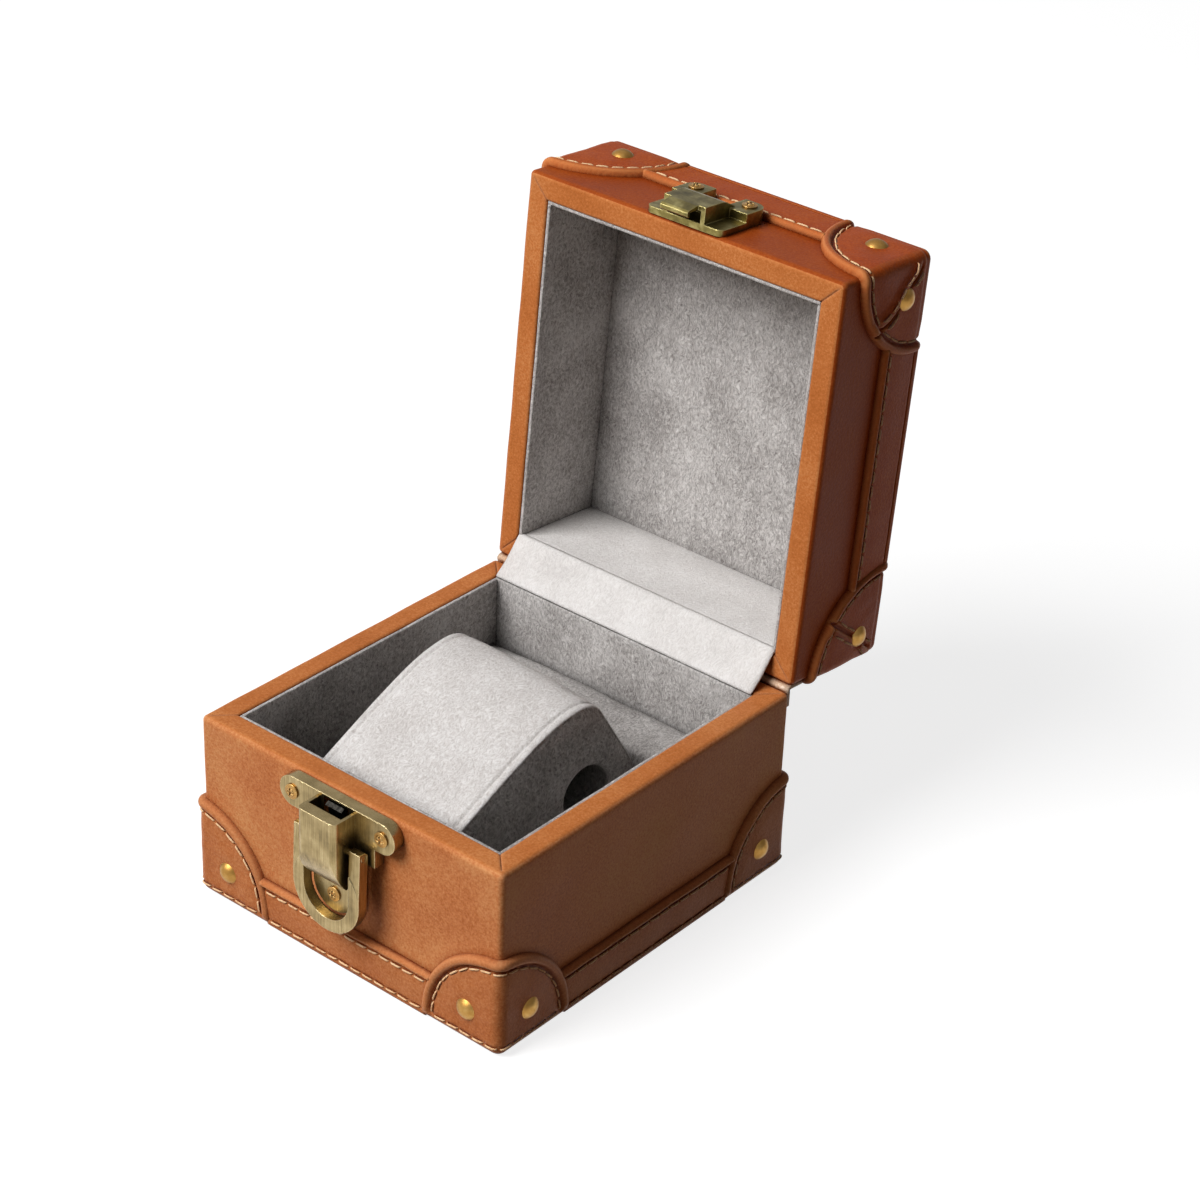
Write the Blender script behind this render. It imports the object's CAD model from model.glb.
# %% [markdown]
# # A leather display box for one watch
#
# The real piece is made like a small trunk. Two trays of board are wrapped in tan leather,
# the corners get leather caps, a strip of leather runs along the edges between the caps, and
# a brass spring latch holds the lid. Inside it is lined with grey microsuede, and the watch
# sits on a loose suede cushion.
#
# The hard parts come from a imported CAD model, which is loaded first and never changed. This
# script gives those parts their finishes and adds what is soft, sewn or worn.

import math
import random

import bpy
import bmesh
import numpy as np
from mathutils import Matrix, Vector, noise


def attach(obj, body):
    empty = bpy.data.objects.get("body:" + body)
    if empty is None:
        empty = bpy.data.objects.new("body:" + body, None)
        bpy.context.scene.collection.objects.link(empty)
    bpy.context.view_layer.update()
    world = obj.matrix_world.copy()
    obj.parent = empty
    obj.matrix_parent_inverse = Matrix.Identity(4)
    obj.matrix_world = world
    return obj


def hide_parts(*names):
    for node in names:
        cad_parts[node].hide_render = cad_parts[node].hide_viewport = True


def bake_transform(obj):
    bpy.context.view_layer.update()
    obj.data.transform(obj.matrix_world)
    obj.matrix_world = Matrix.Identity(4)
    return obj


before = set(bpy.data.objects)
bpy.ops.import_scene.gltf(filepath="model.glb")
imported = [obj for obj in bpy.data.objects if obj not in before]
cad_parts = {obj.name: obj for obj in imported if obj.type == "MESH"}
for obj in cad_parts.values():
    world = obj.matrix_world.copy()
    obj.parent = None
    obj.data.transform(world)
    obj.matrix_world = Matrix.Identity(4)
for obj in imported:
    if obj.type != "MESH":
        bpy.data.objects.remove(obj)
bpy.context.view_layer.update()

# %% [markdown]
# ## One set of sizes
#
# The soft pieces have to sit exactly on the CAD parts, so the script repeats the few sizes
# that both share, in millimetres. Each half of the box is a "tray" with its underside at
# z = 0, open upwards. The base is a tray that is lifted a little, and the lid is a tray that
# is turned over and swung open, so every piece can be drawn on a tray and then placed.

# %% Sizes, and the way from a tray to its place in the box
HALF_W, HALF_D = 52.5, 57.0            # outside of the leather, to the right and to the back
BASE_LIFT, BASE_H = 1.5, 53.5          # the base tray's underside, and its height
LID_H, LID_TOP = 36.0, 91.4            # the lid tray's height, and its top with the lid shut
WALL = 7.0                             # board and leather together
LINING = 1.0                           # suede-covered card
EDGE_R = 1.5                           # radius of the tray's outer edges
TURN_IN = 9.0                          # leather turned in under the base
PIVOT_Y, PIVOT_Z = 57.8, 55.7          # the hinge line
OPEN = math.radians(95)


def swing(p, angle=-OPEN):
    """Turns points in millimetres about the hinge line, by default from shut to open."""
    y, z = p[:, 1] - PIVOT_Y, p[:, 2] - PIVOT_Z
    c, s = math.cos(angle), math.sin(angle)
    return np.column_stack([p[:, 0], PIVOT_Y + y * c - z * s, PIVOT_Z + y * s + z * c])


def in_base(p):
    """Lifts points of the base's tray to where the base stands."""
    return np.asarray(p, float) + (0, 0, BASE_LIFT)


def in_lid(p):
    """Turns points of the lid's tray over and swings them open."""
    return swing(np.asarray(p, float) * (1, 1, -1) + (0, 0, LID_TOP))


# cap_r is the radius of the caps' round outline, and strip_h the height of the edge strips
TRAYS = {
    "base": dict(place=in_base, height=BASE_H, cap_r=26.6, strip_h=13.0),
    "lid": dict(place=in_lid, height=LID_H, cap_r=28.0, strip_h=15.8),
}
print("well between the linings:", 2 * (HALF_W - WALL - LINING), "x", 2 * (HALF_D - WALL - LINING))

# %% [markdown]
# ## Camera
#
# The photograph was taken with a fairly long lens from the front right and above. The place
# and the lens were worked out from the corners of the box. The place is in metres, and the
# turn is written as the camera's own right and back directions.

# %% The camera
CAMERA_AT = Vector((0.45096, -0.51235, 0.48819))
SENSOR, LENS = 36, 92.49               # millimetres
camera = bpy.data.objects.new("camera", bpy.data.cameras.new("camera"))
bpy.context.scene.collection.objects.link(camera)
right = Vector((0.76148, 0.64729, 0.03415)).normalized()
back = Vector((0.54523, -0.66813, 0.50629)).normalized()
up = back.cross(right).normalized()
right = up.cross(back)
camera.matrix_world = Matrix.Translation(CAMERA_AT) @ Matrix((right, up, back)).transposed().to_4x4()
camera.data.sensor_width = SENSOR
camera.data.lens = LENS
camera.data.clip_start, camera.data.clip_end = 0.01, 50
bpy.context.scene.camera = camera
bpy.context.scene.view_settings.view_transform = "Standard"
print("lens", LENS, "mm, distance", round(CAMERA_AT.length, 3), "m")

# %% [markdown]
# ## Colours and nodes
#
# Colours are written as the hex codes a paint program shows. The render works in linear
# light, so one function turns a code to linear numbers. A second adds a shader node with its
# settings and links, and fills in the stops of a colour ramp, which keeps each material short
# enough to read. A mix node has a pair of inputs for each kind of value, and they are told
# apart by number: 2 and 3 take plain values, and 6 and 7 take colours.


# %% Helpers for materials
def linear(code):
    """An sRGB hex code as linear red, green, blue and alpha."""
    parts = [int(code[i : i + 2], 16) / 255 for i in (1, 3, 5)]
    return [p / 12.92 if p <= 0.04045 else ((p + 0.055) / 1.055) ** 2.4 for p in parts] + [1.0]


def add(tree, kind, sockets=None, stops=(), **settings):
    """Adds one node; sockets are values, or the outputs of other nodes to link in.

    stops are the (position, hex code) pairs of a colour ramp, in rising order."""
    node = tree.nodes.new(kind)
    for key, value in settings.items():
        setattr(node, key, value)
    for key, value in (sockets or {}).items():
        if isinstance(value, bpy.types.NodeSocket):
            tree.links.new(value, node.inputs[key])
        else:
            node.inputs[key].default_value = value
    for _ in stops[2:]:
        node.color_ramp.elements.new(0.5)
    for k, (position, code) in enumerate(stops):
        node.color_ramp.elements[k].position = position
        node.color_ramp.elements[k].color = linear(code)
    return node


def new_material(name):
    """An empty material with its Principled shader, as (material, tree, shader)."""
    material = bpy.data.materials.new(name)
    material.use_nodes = True
    tree = material.node_tree
    return material, tree, tree.nodes["Principled BSDF"]


def per_metre(millimetres):
    """The scale of a texture whose features are that big."""
    return 1000 / millimetres


print("the grey #808080 is", round(linear("#808080")[0], 3), "in linear light")

# %% [markdown]
# ## Paper
#
# The box stands on plain white paper. The paper is white to the camera and in reflections,
# and greyer to the light that bounces off it, because the dark right side of the box shows
# that little light came back from the table. The Light Path node tells the rays apart. Part
# of the white is a glow, which sets how deep the box's shadow on it gets.

# %% The paper
PAPER_GLOW = 0.8                       # what a shadow on the paper keeps of its white
FLOOR_R = 12                           # metres
paper, tree, shader = new_material("white_paper")
rays = add(tree, "ShaderNodeLightPath").outputs
seen = rays["Is Camera Ray"]
for kind in ("Is Glossy Ray", "Is Transmission Ray"):
    seen = add(tree, "ShaderNodeMath", {0: seen, 1: rays[kind]}, operation="MAXIMUM").outputs[0]
white = add(tree, "ShaderNodeBsdfDiffuse", {"Color": linear("#A8A8A8")})
glow = add(tree, "ShaderNodeEmission", {"Color": linear("#FFFFFF"), "Strength": PAPER_GLOW})
shown = add(tree, "ShaderNodeAddShader", {0: white.outputs[0], 1: glow.outputs[0]})
dim = add(tree, "ShaderNodeBsdfDiffuse", {"Color": linear("#72665C")})
both = add(tree, "ShaderNodeMixShader", {0: seen, 1: dim.outputs[0], 2: shown.outputs[0]})
tree.nodes.remove(shader)
tree.links.new(both.outputs[0], tree.nodes["Material Output"].inputs["Surface"])

bpy.ops.mesh.primitive_circle_add(vertices=96, radius=FLOOR_R, fill_type="NGON", location=(0, 0, 0))
floor = bpy.context.object
floor.name = "paper_floor"
floor.data.materials.append(paper)
print("paper:", 2 * FLOOR_R, "m across")

# %% [markdown]
# ## Room
#
# The room itself lights the box very little. In reflections it is bright towards the left,
# the front and above, and dark on the other side, and this is what shapes the brass. A plain
# grey room would leave the metal flat.

# %% The room
ROOM_LIGHT = 0.036                     # the strength of the light that it gives
BRIGHT_WAY = (-0.6, -0.45, 0.66)       # to the left, the front and above
room = bpy.data.worlds.new("room")
room.use_nodes = True
bpy.context.scene.world = room
tree = room.node_tree
rays = add(tree, "ShaderNodeLightPath").outputs
way = add(tree, "ShaderNodeTexCoord").outputs["Generated"]
facing = add(tree, "ShaderNodeVectorMath", {0: way, 1: BRIGHT_WAY}, operation="DOT_PRODUCT")
limits = {"Value": facing.outputs["Value"], "From Min": -0.9, "From Max": 0.9}
limits.update({"To Min": 0.06, "To Max": 0.85})
walls = add(tree, "ShaderNodeMapRange", limits).outputs[0]
choice = {0: rays["Is Diffuse Ray"], 2: walls, 3: ROOM_LIGHT}
level = add(tree, "ShaderNodeMix", choice, data_type="FLOAT").outputs[0]
tree.nodes["Background"].inputs["Color"].default_value = linear("#FFFFFF")
tree.links.new(level, tree.nodes["Background"].inputs["Strength"])
print("room:", limits["To Min"], "to", limits["To Max"], "in reflections,", ROOM_LIGHT, "as light")

# %% [markdown]
# ## Lamp
#
# One large soft light, 1.2 m across, does nearly all the work. It stands two metres away at
# the front left and shines down at about 45 degrees, as the box's shadow shows.

# %% The lamp
LAMP_AT, LAMP_AIM = Vector((-0.58, -1.3, 1.5)), Vector((0, 0, 0.05))
light = bpy.data.lights.new("key_light", "AREA")
light.shape, light.size, light.energy = "SQUARE", 1.2, 50
lamp = bpy.data.objects.new("key_light", light)
bpy.context.scene.collection.objects.link(lamp)
lamp.location = LAMP_AT
lamp.rotation_mode = "QUATERNION"
lamp.rotation_quaternion = (LAMP_AIM - LAMP_AT).to_track_quat("-Z", "Y")
print("lamp:", light.energy, "W, from", round((LAMP_AIM - LAMP_AT).length, 2), "m away")

# %% [markdown]
# ## Finishes
#
# ### Wear and hollows
#
# Leather, suede and brass age alike: an edge is rubbed paler, and a fold or a corner stays
# dark. That could be painted by hand on each piece. Here a bevel node finds the edges, where
# its rounded normal turns away from the true one, and ambient occlusion finds the hollows,
# where little open sky is seen, so both follow any shape without painting.

# %% Wear and hollows
SAMPLES = 4                            # rays that an edge or a hollow is found with


def edge_wear(tree, radius_mm, first, full, most):
    """How worn an edge is, from 0 to most, and the rounded normal that finds it."""
    rounded = add(tree, "ShaderNodeBevel", {"Radius": radius_mm / 1000}, samples=SAMPLES).outputs[0]
    true = add(tree, "ShaderNodeNewGeometry").outputs["Normal"]
    same = add(tree, "ShaderNodeVectorMath", {0: rounded, 1: true}, operation="DOT_PRODUCT")
    limits = {"Value": same.outputs["Value"], "From Min": first, "From Max": full, "To Max": most}
    return add(tree, "ShaderNodeMapRange", limits).outputs[0], rounded


def open_sky(tree, reach_mm, low, high, least=0.0):
    """One where the surface sees open sky, falling to least in a hollow that deep."""
    hollow = add(tree, "ShaderNodeAmbientOcclusion", {"Distance": reach_mm / 1000}, samples=SAMPLES)
    limits = {"Value": hollow.outputs["AO"], "From Min": low, "From Max": high, "To Min": least}
    return add(tree, "ShaderNodeMapRange", limits).outputs[0]


def aged(tree, colour, worn, pale, sky, fold):
    """The colour, turned to pale where worn, and times the fold's colour in the hollows."""
    mix = {0: worn, 6: colour, 7: linear(pale)}
    lighter = add(tree, "ShaderNodeMix", mix, data_type="RGBA").outputs[2]
    mix = {0: sky, 6: linear(fold), 7: linear("#FFFFFF")}
    shade = add(tree, "ShaderNodeMix", mix, data_type="RGBA").outputs[2]
    mix = {0: 1.0, 6: lighter, 7: shade}
    return add(tree, "ShaderNodeMix", mix, data_type="RGBA", blend_type="MULTIPLY").outputs[2]


print("wear is found with", SAMPLES, "rays at each point")

# %% [markdown]
# ### Vegetable-tanned leather
#
# The box is covered in smooth calf leather, waxed and lightly pulled over the boards. Such
# leather is a warm tan, mottled over a few centimetres, with a fine grain of about a third of
# a millimetre that stands up in small pebbles. Where it is pulled over an edge the wax breaks
# and it looks paler, and so do the crests of its rolled rims, where the mesh is pointed. The
# wax tints what it mirrors, and it mirrors little.


# %% Leather
HIDE_SHIFT = (0.05, 0.02, 0.0)         # metres; it picks clouds like the photographed ones
CLOUD_MM = 28
GRAIN_MM = 0.7                         # about twice as coarse as the real grain, so that it shows


def leather(name, dark, middle, pale, rubbed, edge_mm=0.6, crest=0.3):
    """Tan leather from four hex codes; crest says how rubbed its rolls are, from 0 to 1."""
    material, tree, shader = new_material(name)
    spot = add(tree, "ShaderNodeTexCoord").outputs["Object"]
    moved = add(tree, "ShaderNodeVectorMath", {0: spot, 1: HIDE_SHIFT}, operation="ADD").outputs[0]
    noise_look = {"Vector": moved, "Scale": per_metre(CLOUD_MM), "Detail": 3, "Roughness": 0.55}
    clouds = add(tree, "ShaderNodeTexNoise", noise_look).outputs[0]
    noise_look = {"Vector": spot, "Scale": per_metre(GRAIN_MM), "Detail": 2, "Roughness": 0.8}
    speckle = add(tree, "ShaderNodeTexNoise", noise_look).outputs[0]
    mottle = add(tree, "ShaderNodeMix", {0: 0.55, 2: clouds, 3: speckle}, data_type="FLOAT").outputs[0]
    stops = [(0.34, dark), (0.5, middle), (0.66, pale)]
    colour = add(tree, "ShaderNodeValToRGB", {"Fac": mottle}, stops).outputs["Color"]
    worn, rounded = edge_wear(tree, edge_mm, 0.995, 0.88, 0.5)
    pointed = add(tree, "ShaderNodeNewGeometry").outputs["Pointiness"]
    limits = {"Value": pointed, "From Min": 0.51, "From Max": 0.56, "To Max": crest}
    rolled = add(tree, "ShaderNodeMapRange", limits).outputs[0]
    worn = add(tree, "ShaderNodeMath", {0: worn, 1: rolled}, operation="MAXIMUM").outputs[0]
    final = aged(tree, colour, worn, rubbed, open_sky(tree, 2.5, 0.35, 0.9), "#8A5638")
    tree.links.new(final, shader.inputs["Base Color"])
    pattern = {"Vector": spot, "Scale": per_metre(GRAIN_MM)}
    pebbles = add(tree, "ShaderNodeTexVoronoi", pattern, feature="SMOOTH_F1").outputs["Distance"]
    height = add(tree, "ShaderNodeMath", {0: pebbles, 1: speckle}, operation="ADD").outputs[0]
    relief = {"Height": height, "Normal": rounded, "Strength": 0.28, "Distance": 0.00022}
    tree.links.new(add(tree, "ShaderNodeBump", relief).outputs[0], shader.inputs["Normal"])
    limits = {"Value": clouds, "From Min": 0.3, "From Max": 0.7, "To Min": 0.43, "To Max": 0.52}
    tree.links.new(add(tree, "ShaderNodeMapRange", limits).outputs[0], shader.inputs["Roughness"])
    shader.inputs["Specular IOR Level"].default_value = 0.2
    shader.inputs["Specular Tint"].default_value = linear("#E89058")
    return material


print("grain:", GRAIN_MM, "mm, clouds:", CLOUD_MM, "mm")

# %% [markdown]
# ### The leathers of the box
#
# The walls of the base are a sandy tan, the lid is a deeper red brown, the moulded caps are
# darker than the wall beside them and the leather pulled over the rim is in between. All are
# one recipe with four colours each: the darkest patches, the middle, the palest patches and
# the rubbed edges. The leather that folds in the hinge is creased nearly white, and a dark
# bonded leather covers the underside, where the photograph shows nothing.

# %% The leathers
BASE_TAN = leather("tan_waxed_calf_leather", "#AA5C2E", "#C67B4A", "#D79863", "#EAB88C")
LID_TAN = leather("tan_waxed_calf_leather_lid", "#8B360B", "#9C4313", "#AC5520", "#E29E68")
BASE_CAP = leather("tan_leather_moulded_cap", "#A0562A", "#B86D3E", "#CA8555", "#E6B080")
LID_CAP = leather("tan_leather_moulded_cap_lid", "#943808", "#A84612", "#B95A22", "#EAA468", crest=0.6)
CREASED = leather("creased_hinge_leather", "#B47A48", "#DDB48C", "#FBEBD6", "#FFF2E2", edge_mm=1.4)
UNDER = leather("dark_bonded_leather", "#3A2216", "#472A1B", "#573625", "#6A4630")
RIM = leather("tan_leather_pulled_over_rim", "#AC612D", "#C0723C", "#D28B54", "#E8B488")
SKINS = {"base": BASE_TAN, "lid": LID_TAN}
CAPS = {"base": BASE_CAP, "lid": LID_CAP}
print("leathers:", [m.name for m in bpy.data.materials if "leather" in m.name])

# %% [markdown]
# ### Linen thread
#
# The seams are sewn with a waxed linen thread about half a millimetre thick. It is cream on
# its crown and takes the leather's brown where it goes in. Noise as fine as the thread itself
# breaks its colour, as its two plies do.

# %% Thread
THREAD, tree, shader = new_material("waxed_linen_thread")
spot = add(tree, "ShaderNodeTexCoord").outputs["Object"]
plies = add(tree, "ShaderNodeTexNoise", {"Vector": spot, "Scale": per_metre(0.5), "Detail": 2})
hollow = add(tree, "ShaderNodeAmbientOcclusion", {"Distance": 0.0008}, samples=SAMPLES)
factors = {0: plies.outputs[0], 1: hollow.outputs["AO"]}
depth = add(tree, "ShaderNodeMath", factors, operation="MULTIPLY").outputs[0]
stops = [(0.08, "#86441F"), (0.25, "#CC8C55"), (0.5, "#F2CCA0")]
colour = add(tree, "ShaderNodeValToRGB", {"Fac": depth}, stops).outputs["Color"]
tree.links.new(colour, shader.inputs["Base Color"])
shader.inputs["Roughness"].default_value = 0.7
shader.inputs["Specular IOR Level"].default_value = 0.2
print("thread:", THREAD.name, "with", len(tree.nodes), "nodes")

# %% [markdown]
# ### Microsuede
#
# The linings and the cushion are covered in a brushed microfibre. Its nap lies in all
# directions, so the cloth looks pale where the fibres catch the light and charcoal where they
# turn from it. Stretched noise stands for the fibres. They are drawn half a millimetre wide
# and more, far coarser than they are, so that they show. Sheen gives the soft bright rim.


# %% Suede
FIBRE_MM = (0.5, 0.9, 1.2)             # along each axis
WANDER = (0.004, 0.004, 0.004)         # metres; the most that the nap's lie is bent by


def suede(name, dark, middle, pale, cloud=0.25, nap=1.0):
    """Brushed microsuede from three hex codes; cloud is the share of the large patches."""
    material, tree, shader = new_material(name)
    spot = add(tree, "ShaderNodeTexCoord").outputs["Object"]
    noise_look = {"Vector": spot, "Scale": per_metre(16), "Detail": 4, "Roughness": 0.6}
    clouds = add(tree, "ShaderNodeTexNoise", noise_look).outputs[0]
    noise_look = {"Vector": spot, "Scale": per_metre(4), "Detail": 2}
    lie = add(tree, "ShaderNodeTexNoise", noise_look).outputs["Color"]
    lie = add(tree, "ShaderNodeVectorMath", {0: lie, 1: WANDER}, operation="MULTIPLY").outputs[0]
    bent_spot = add(tree, "ShaderNodeVectorMath", {0: spot, 1: lie}, operation="ADD").outputs[0]
    scales = [per_metre(size) for size in FIBRE_MM]
    combed = add(tree, "ShaderNodeVectorMath", {0: bent_spot, 1: scales}, operation="MULTIPLY")
    noise_look = {"Vector": combed.outputs[0], "Scale": 1.0, "Detail": 4, "Roughness": 0.8}
    fibres = add(tree, "ShaderNodeTexNoise", noise_look).outputs[0]
    mix = {0: 1 - cloud, 2: clouds, 3: fibres}
    mottle = add(tree, "ShaderNodeMix", mix, data_type="FLOAT").outputs[0]
    stops = [(0.38, dark), (0.5, middle), (0.6, pale)]
    colour = add(tree, "ShaderNodeValToRGB", {"Fac": mottle}, stops).outputs["Color"]
    # a folded edge opens the nap, and a deep corner swallows the light that bounces in it
    fold, rounded = edge_wear(tree, 0.6, 0.99, 0.85, 0.5)
    final = aged(tree, colour, fold, pale, open_sky(tree, 30, 0.08, 0.44), "#4A4644")
    tree.links.new(final, shader.inputs["Base Color"])
    relief = {"Height": fibres, "Normal": rounded, "Strength": 0.8 * nap, "Distance": 0.0009}
    tree.links.new(add(tree, "ShaderNodeBump", relief).outputs[0], shader.inputs["Normal"])
    shader.inputs["Roughness"].default_value = 0.95
    shader.inputs["Specular IOR Level"].default_value = 0.05
    shader.inputs["Sheen Weight"].default_value = 0.12
    shader.inputs["Sheen Roughness"].default_value = 0.5
    shader.inputs["Sheen Tint"].default_value = linear("#E8E4E2")
    return material


SUEDE = suede("grey_brushed_microsuede", "#928C89", "#CAC5C2", "#ECE8E5")
CUSHION = suede("pale_brushed_microsuede", "#C4BDB9", "#DDD8D5", "#EFECEA", cloud=0.2, nap=0.7)
GUSSET = suede("palest_brushed_microsuede", "#D8D3D0", "#E9E5E2", "#F4F1EF", cloud=0.3, nap=0.7)
print("suedes:", SUEDE.name, CUSHION.name, GUSSET.name)

# %% [markdown]
# ### Antiqued brass
#
# The latch is cast and stamped brass. It was brushed, darkened with a liver-coloured patina
# and wiped back, so it is bright on the edges, olive gold on the flats and nearly black in
# the corners. The brushing runs up and down, so the noise is stretched along Z, and its
# strokes are drawn 0.28 mm wide, coarser than real ones, so that they show.


# %% Brass
STROKE_MM = (0.28, 0.28, 9)            # a brush stroke, along each axis
CAST_MM = (2.5, 2.5, 2.5)              # the unevenness of a casting


def brass(name, dark, middle, bright, rough=0.3, brushed=True, hollow_mm=2.0):
    """Antiqued brass from three hex codes: recess, flat and worn edge."""
    material, tree, shader = new_material(name)
    spot = add(tree, "ShaderNodeTexCoord").outputs["Object"]
    scales = [per_metre(size) for size in (STROKE_MM if brushed else CAST_MM)]
    scaled = add(tree, "ShaderNodeVectorMath", {0: spot, 1: scales}, operation="MULTIPLY").outputs[0]
    noise_look = {"Vector": scaled, "Scale": 1.0, "Detail": 3, "Roughness": 0.6}
    strokes = add(tree, "ShaderNodeTexNoise", noise_look).outputs[0]
    noise_look = {"Vector": spot, "Scale": per_metre(6), "Detail": 4, "Roughness": 0.6}
    stains = add(tree, "ShaderNodeTexNoise", noise_look).outputs[0]
    mottle = add(tree, "ShaderNodeMix", {0: 0.5, 2: strokes, 3: stains}, data_type="FLOAT").outputs[0]
    stops = [(0.2, dark), (0.5, middle), (0.85, bright)]
    colour = add(tree, "ShaderNodeValToRGB", {"Fac": mottle}, stops).outputs["Color"]
    worn, rounded = edge_wear(tree, 0.35, 0.99, 0.85, 0.8)
    mix = {0: worn, 6: colour, 7: linear(bright)}
    lighter = add(tree, "ShaderNodeMix", mix, data_type="RGBA").outputs[2]
    # the patina was wiped off wherever the cloth could reach
    mix = {0: open_sky(tree, hollow_mm, 0.2, 0.8, 0.25), 6: linear(dark), 7: lighter}
    final = add(tree, "ShaderNodeMix", mix, data_type="RGBA").outputs[2]
    tree.links.new(final, shader.inputs["Base Color"])
    relief = {"Height": strokes, "Normal": rounded, "Strength": 0.18, "Distance": 0.00004}
    tree.links.new(add(tree, "ShaderNodeBump", relief).outputs[0], shader.inputs["Normal"])
    limits = {"Value": mottle, "From Min": 0.3, "From Max": 0.7}
    limits.update({"To Min": rough + 0.08, "To Max": rough - 0.06})
    tree.links.new(add(tree, "ShaderNodeMapRange", limits).outputs[0], shader.inputs["Roughness"])
    shader.inputs["Metallic"].default_value = 1.0
    return material


UNBRUSHED = dict(rough=0.34, brushed=False)
BRASS = brass("antiqued_brushed_brass", "#40351F", "#A08C62", "#DECA9C", hollow_mm=6.0)
STRIKE = brass("antiqued_cast_brass", "#26241C", "#7C7040", "#D4C688", hollow_mm=5.0, **UNBRUSHED)
NAIL = brass("aged_satin_brass", "#7A5626", "#AA8042", "#D2AE6C", rough=0.4, brushed=False)
SCREW = brass("yellow_brass", "#5A3C18", "#B08448", "#E0BC7C", hollow_mm=0.9, **UNBRUSHED)
print("brasses:", BRASS.name, STRIKE.name, NAIL.name, SCREW.name)

# %% [markdown]
# ### Plain materials
#
# The torsion spring and the catch are drawn and stamped steel, dark from their oil. They sit
# inside the latch's housing, so fine marks in the colour are enough. The boards are hidden
# once the box is covered. They still get the speckled grey brown of pressed fibre board, for
# anyone who takes the model apart.

# %% Steel and board
STEEL, tree, shader = new_material("drawn_spring_steel")
spot = add(tree, "ShaderNodeTexCoord").outputs["Object"]
marks = add(tree, "ShaderNodeTexNoise", {"Vector": spot, "Scale": per_metre(0.8), "Detail": 3})
stops = [(0.35, "#1E1C1A"), (0.65, "#3A3834")]
colour = add(tree, "ShaderNodeValToRGB", {"Fac": marks.outputs[0]}, stops).outputs["Color"]
tree.links.new(colour, shader.inputs["Base Color"])
shader.inputs["Metallic"].default_value = 1.0
shader.inputs["Roughness"].default_value = 0.38

BOARD, tree, shader = new_material("pressed_fibre_board")
spot = add(tree, "ShaderNodeTexCoord").outputs["Object"]
flecks = add(tree, "ShaderNodeTexNoise", {"Vector": spot, "Scale": per_metre(1.2), "Detail": 5})
stops = [(0.35, "#6A6052"), (0.65, "#8F8472")]
colour = add(tree, "ShaderNodeValToRGB", {"Fac": flecks.outputs[0]}, stops).outputs["Color"]
tree.links.new(colour, shader.inputs["Base Color"])
shader.inputs["Roughness"].default_value = 0.85
print("plain materials:", STEEL.name, BOARD.name)

# %% [markdown]
# ## Finishes for the CAD parts
#
# Each CAD part that stays on show keeps its shape and only gets a finish. The name of a part
# says what it is made of, so a short list of words is enough to dress them all. The first
# word of the list that is found in a part's name counts.

# %% Dressing the CAD parts
FINISHES = [
    ("board", BOARD), ("leather_wrap", BASE_TAN), ("rim_leather", BASE_TAN), ("bottom_panel", UNDER),
    ("edge_strips", BASE_CAP), ("cap_", BASE_CAP), ("dome_nails", NAIL), ("screws", SCREW),
    ("spring", STEEL), ("catch", STEEL), ("latch", BRASS), ("strike", STRIKE),
    ("lining", SUEDE), ("rest_pad", SUEDE), ("gusset", GUSSET), ("cushion", CUSHION),
    ("hinge_leather", CREASED),
]
for name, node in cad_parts.items():
    finish = next(material for part, material in FINISHES if part in name)
    node.data.materials.clear()
    node.data.materials.append(finish)
print("dressed", len(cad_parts), "CAD parts")

# %% [markdown]
# ## Making a piece
#
# Every soft piece below is a grid of points that is bent over the box. `grid` lists the faces
# between rows of points. `make` turns points and faces into a piece, welds the seams of the
# grid, and gives the piece a body to ride on and the CAD part it stands for.


# %% Mesh helpers
def make(name, points, faces, finish, body, stands_for=(), second=None):
    """A smooth piece from points in millimetres, riding on a body of the frame.

    second is another finish and a list that is 1 for each face that has it."""
    mesh = bpy.data.meshes.new(name)
    mesh.from_pydata((np.asarray(points) / 1000).tolist(), [], faces)
    mesh.materials.append(finish)
    if second:
        mesh.materials.append(second[0])
        mesh.polygons.foreach_set("material_index", second[1])
    shape = bmesh.new()
    shape.from_mesh(mesh)
    bmesh.ops.remove_doubles(shape, verts=shape.verts, dist=2e-6)
    bmesh.ops.recalc_face_normals(shape, faces=shape.faces)
    shape.to_mesh(mesh)
    shape.free()
    mesh.shade_smooth()
    made = bpy.data.objects.new(name, mesh)
    bpy.context.scene.collection.objects.link(made)
    if body:
        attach(made, body)
    if stands_for:
        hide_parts(*stands_for)
    print("made", name, "with", len(mesh.polygons), "faces")
    return made


def grid(rows, columns, around=False, start=0):
    """Quads between rows of points; around closes each row on itself."""
    quads = []
    for i in range(rows - 1):
        for j in range(columns if around else columns - 1):
            k = (j + 1) % columns
            a, b = start + i * columns, start + (i + 1) * columns
            quads.append((a + j, a + k, b + k, b + j))
    return quads


print("a grid of 3 by 4 points has", len(grid(3, 4)), "faces")

# %% [markdown]
# ## Soft forms
#
# Four small forms make the relief of all the leather and suede: a random ripple, a soft step,
# a groove and a rolled edge. They could be sculpted, but as formulas they have real widths
# and heights, and stay the same on every run.


# %% Ripples, steps, grooves and rolls
def ripple(points, size, height, seed=0):
    """A smooth random height for each point, from -height to height."""
    shift = Vector((seed * 7.3, seed * 3.1, seed * 5.7))
    return height * np.array([noise.noise(Vector(p) / size + shift) for p in points])


def smooth_step(x, low, high):
    """Nothing up to low, rising softly to one at high."""
    t = np.clip((np.asarray(x, float) - low) / (high - low), 0, 1)
    return t * t * (3 - 2 * t)


def dip(x, middle, width):
    """One where x is in the middle of a groove, falling to nothing beside it."""
    return np.exp(-(((x - middle) / width) ** 2))


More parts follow.
